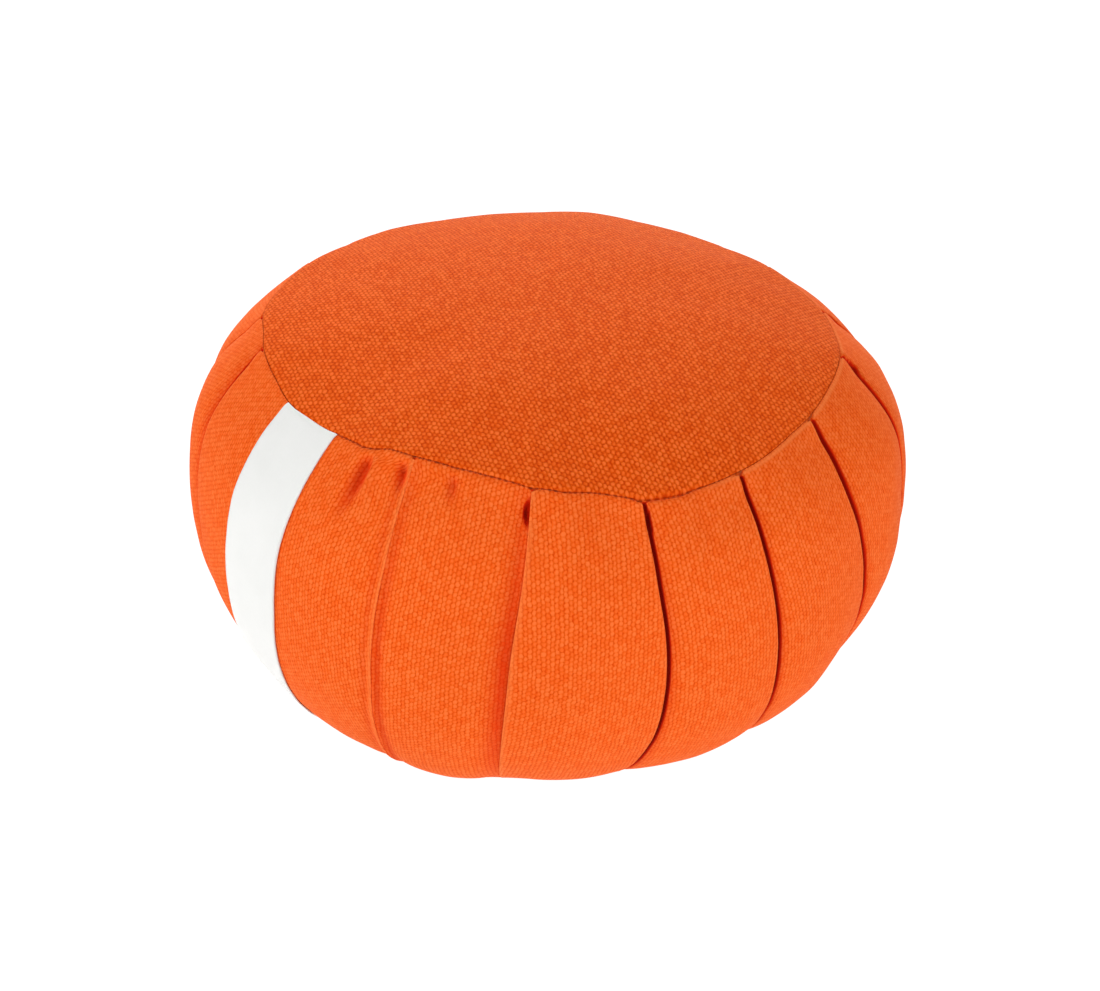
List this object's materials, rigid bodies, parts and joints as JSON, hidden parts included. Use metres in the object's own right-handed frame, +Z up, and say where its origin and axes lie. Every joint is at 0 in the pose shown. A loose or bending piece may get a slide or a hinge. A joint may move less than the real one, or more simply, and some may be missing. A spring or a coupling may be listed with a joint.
{
  "type": "zafu meditation cushion",
  "caption": "Round floor cushion of orange canvas: flat-crowned top, firmly filled belly, pleated side band and a bare white tape down one side.",
  "frame": {"origin": "on the floor under the middle of the cushion", "axes": "+Z up; -Y is the side that faces the viewer, with the white tape a little to its -X side"},
  "size_m": [0.3612, 0.3603, 0.197],
  "materials": {
    "canvas_side": "matt heavy cotton canvas",
    "canvas_top": "matt heavy cotton canvas",
    "canvas_base": "matt heavy cotton canvas",
    "tape_white": "smooth close-woven tape"
  },
  "bodies": {
    "root": {"side_band": "canvas_side", "top_panel": "canvas_top", "bottom_panel": "canvas_base", "side_tape": "tape_white"}
  },
  "joints": []
}
